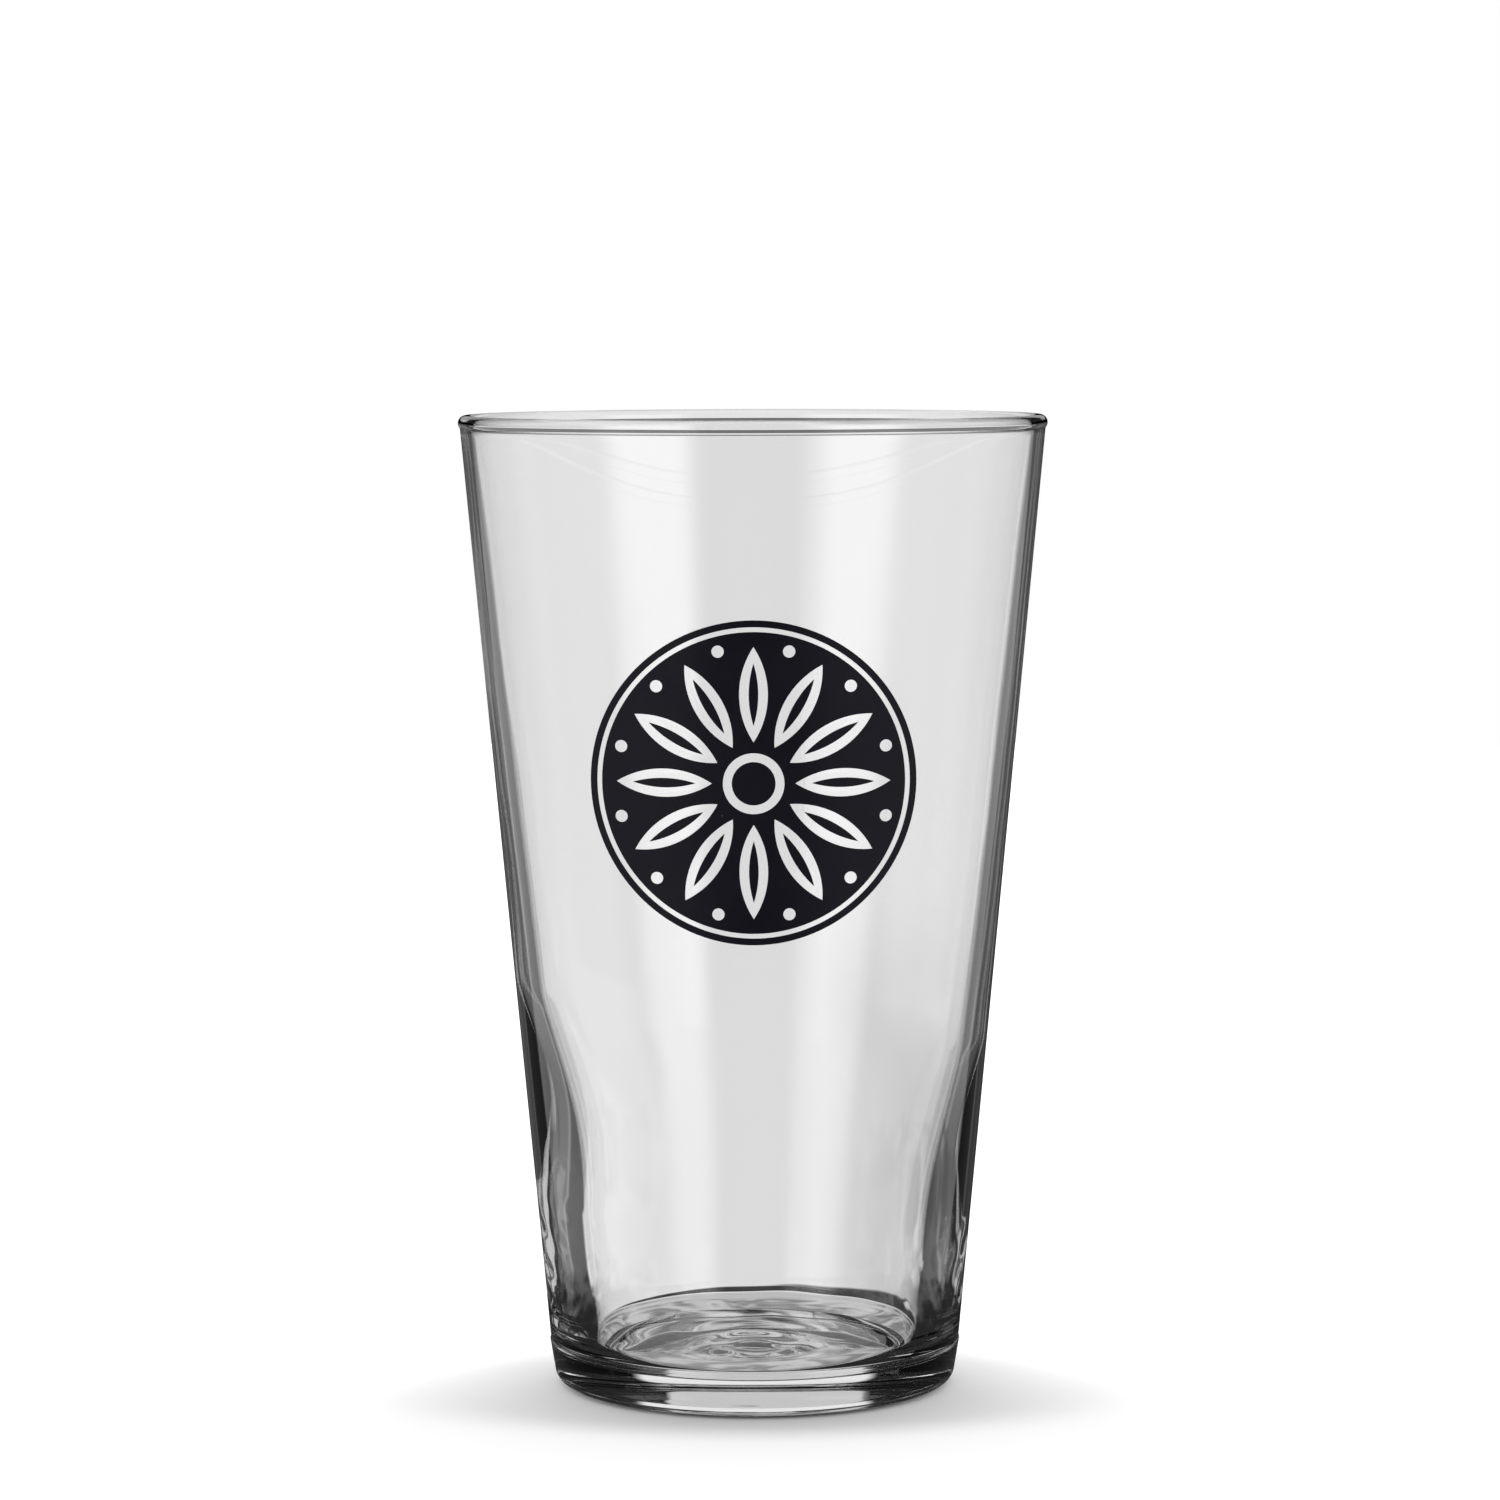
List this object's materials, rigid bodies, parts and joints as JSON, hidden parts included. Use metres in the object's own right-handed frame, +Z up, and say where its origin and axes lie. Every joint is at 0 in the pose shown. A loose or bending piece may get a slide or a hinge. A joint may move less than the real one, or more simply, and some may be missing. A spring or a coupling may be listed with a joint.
{
  "type": "pint glass",
  "caption": "Conical clear pint glass with a beaded rim, a heavy base and a round dark enamel rosette printed on its front.",
  "frame": {"origin": "centre of the foot, on the plane of its flat ring", "axes": "+Z up along the axis of the glass, -Y out of the printed front, +X to the right when the print is faced"},
  "size_m": [0.09, 0.09, 0.149],
  "materials": {
    "clear_glass": "clear, fire-polished",
    "enamel": "fired-on dark navy ink, satin gloss"
  },
  "bodies": {
    "root": {"glass_body": "clear_glass", "print_border": "enamel", "print_field": "enamel", "print_seeds": "enamel", "print_core": "enamel"}
  },
  "joints": []
}
